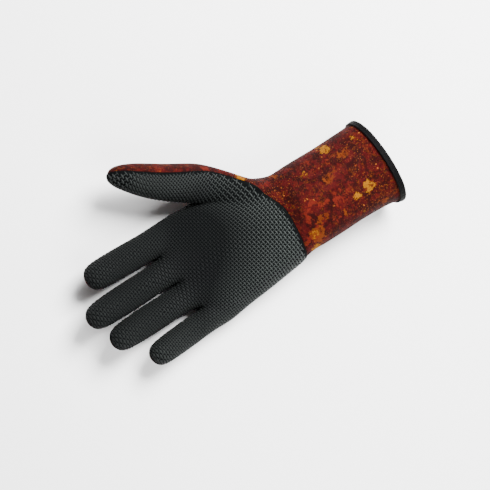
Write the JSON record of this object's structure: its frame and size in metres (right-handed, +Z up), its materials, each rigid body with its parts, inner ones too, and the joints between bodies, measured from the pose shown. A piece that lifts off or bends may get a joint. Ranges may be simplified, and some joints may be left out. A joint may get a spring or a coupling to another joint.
{
  "type": "diving glove",
  "caption": "Right-hand neoprene diving glove with a moulded grip palm, cloth-faced back and long taped sleeve, hollow as worn.",
  "frame": {"origin": "on the floor, in the middle of the flat that the back of the hand rests on", "axes": "+X from the fingers towards the sleeve's mouth, +Y to the thumb side, +Z up out of the palm"},
  "size_m": [0.2983, 0.1667, 0.0571],
  "materials": {
    "grip_rubber": "satin, moulded in a small diamond lattice",
    "printed_cloth": "matt nylon jersey, printed in rust, maroon and ochre blotches",
    "binding_tape": "black woven tape"
  },
  "bodies": {
    "root": {"palm_grip_panel": "grip_rubber", "back_and_sleeve_panel": "printed_cloth", "mouth_binding": "binding_tape"}
  },
  "joints": []
}
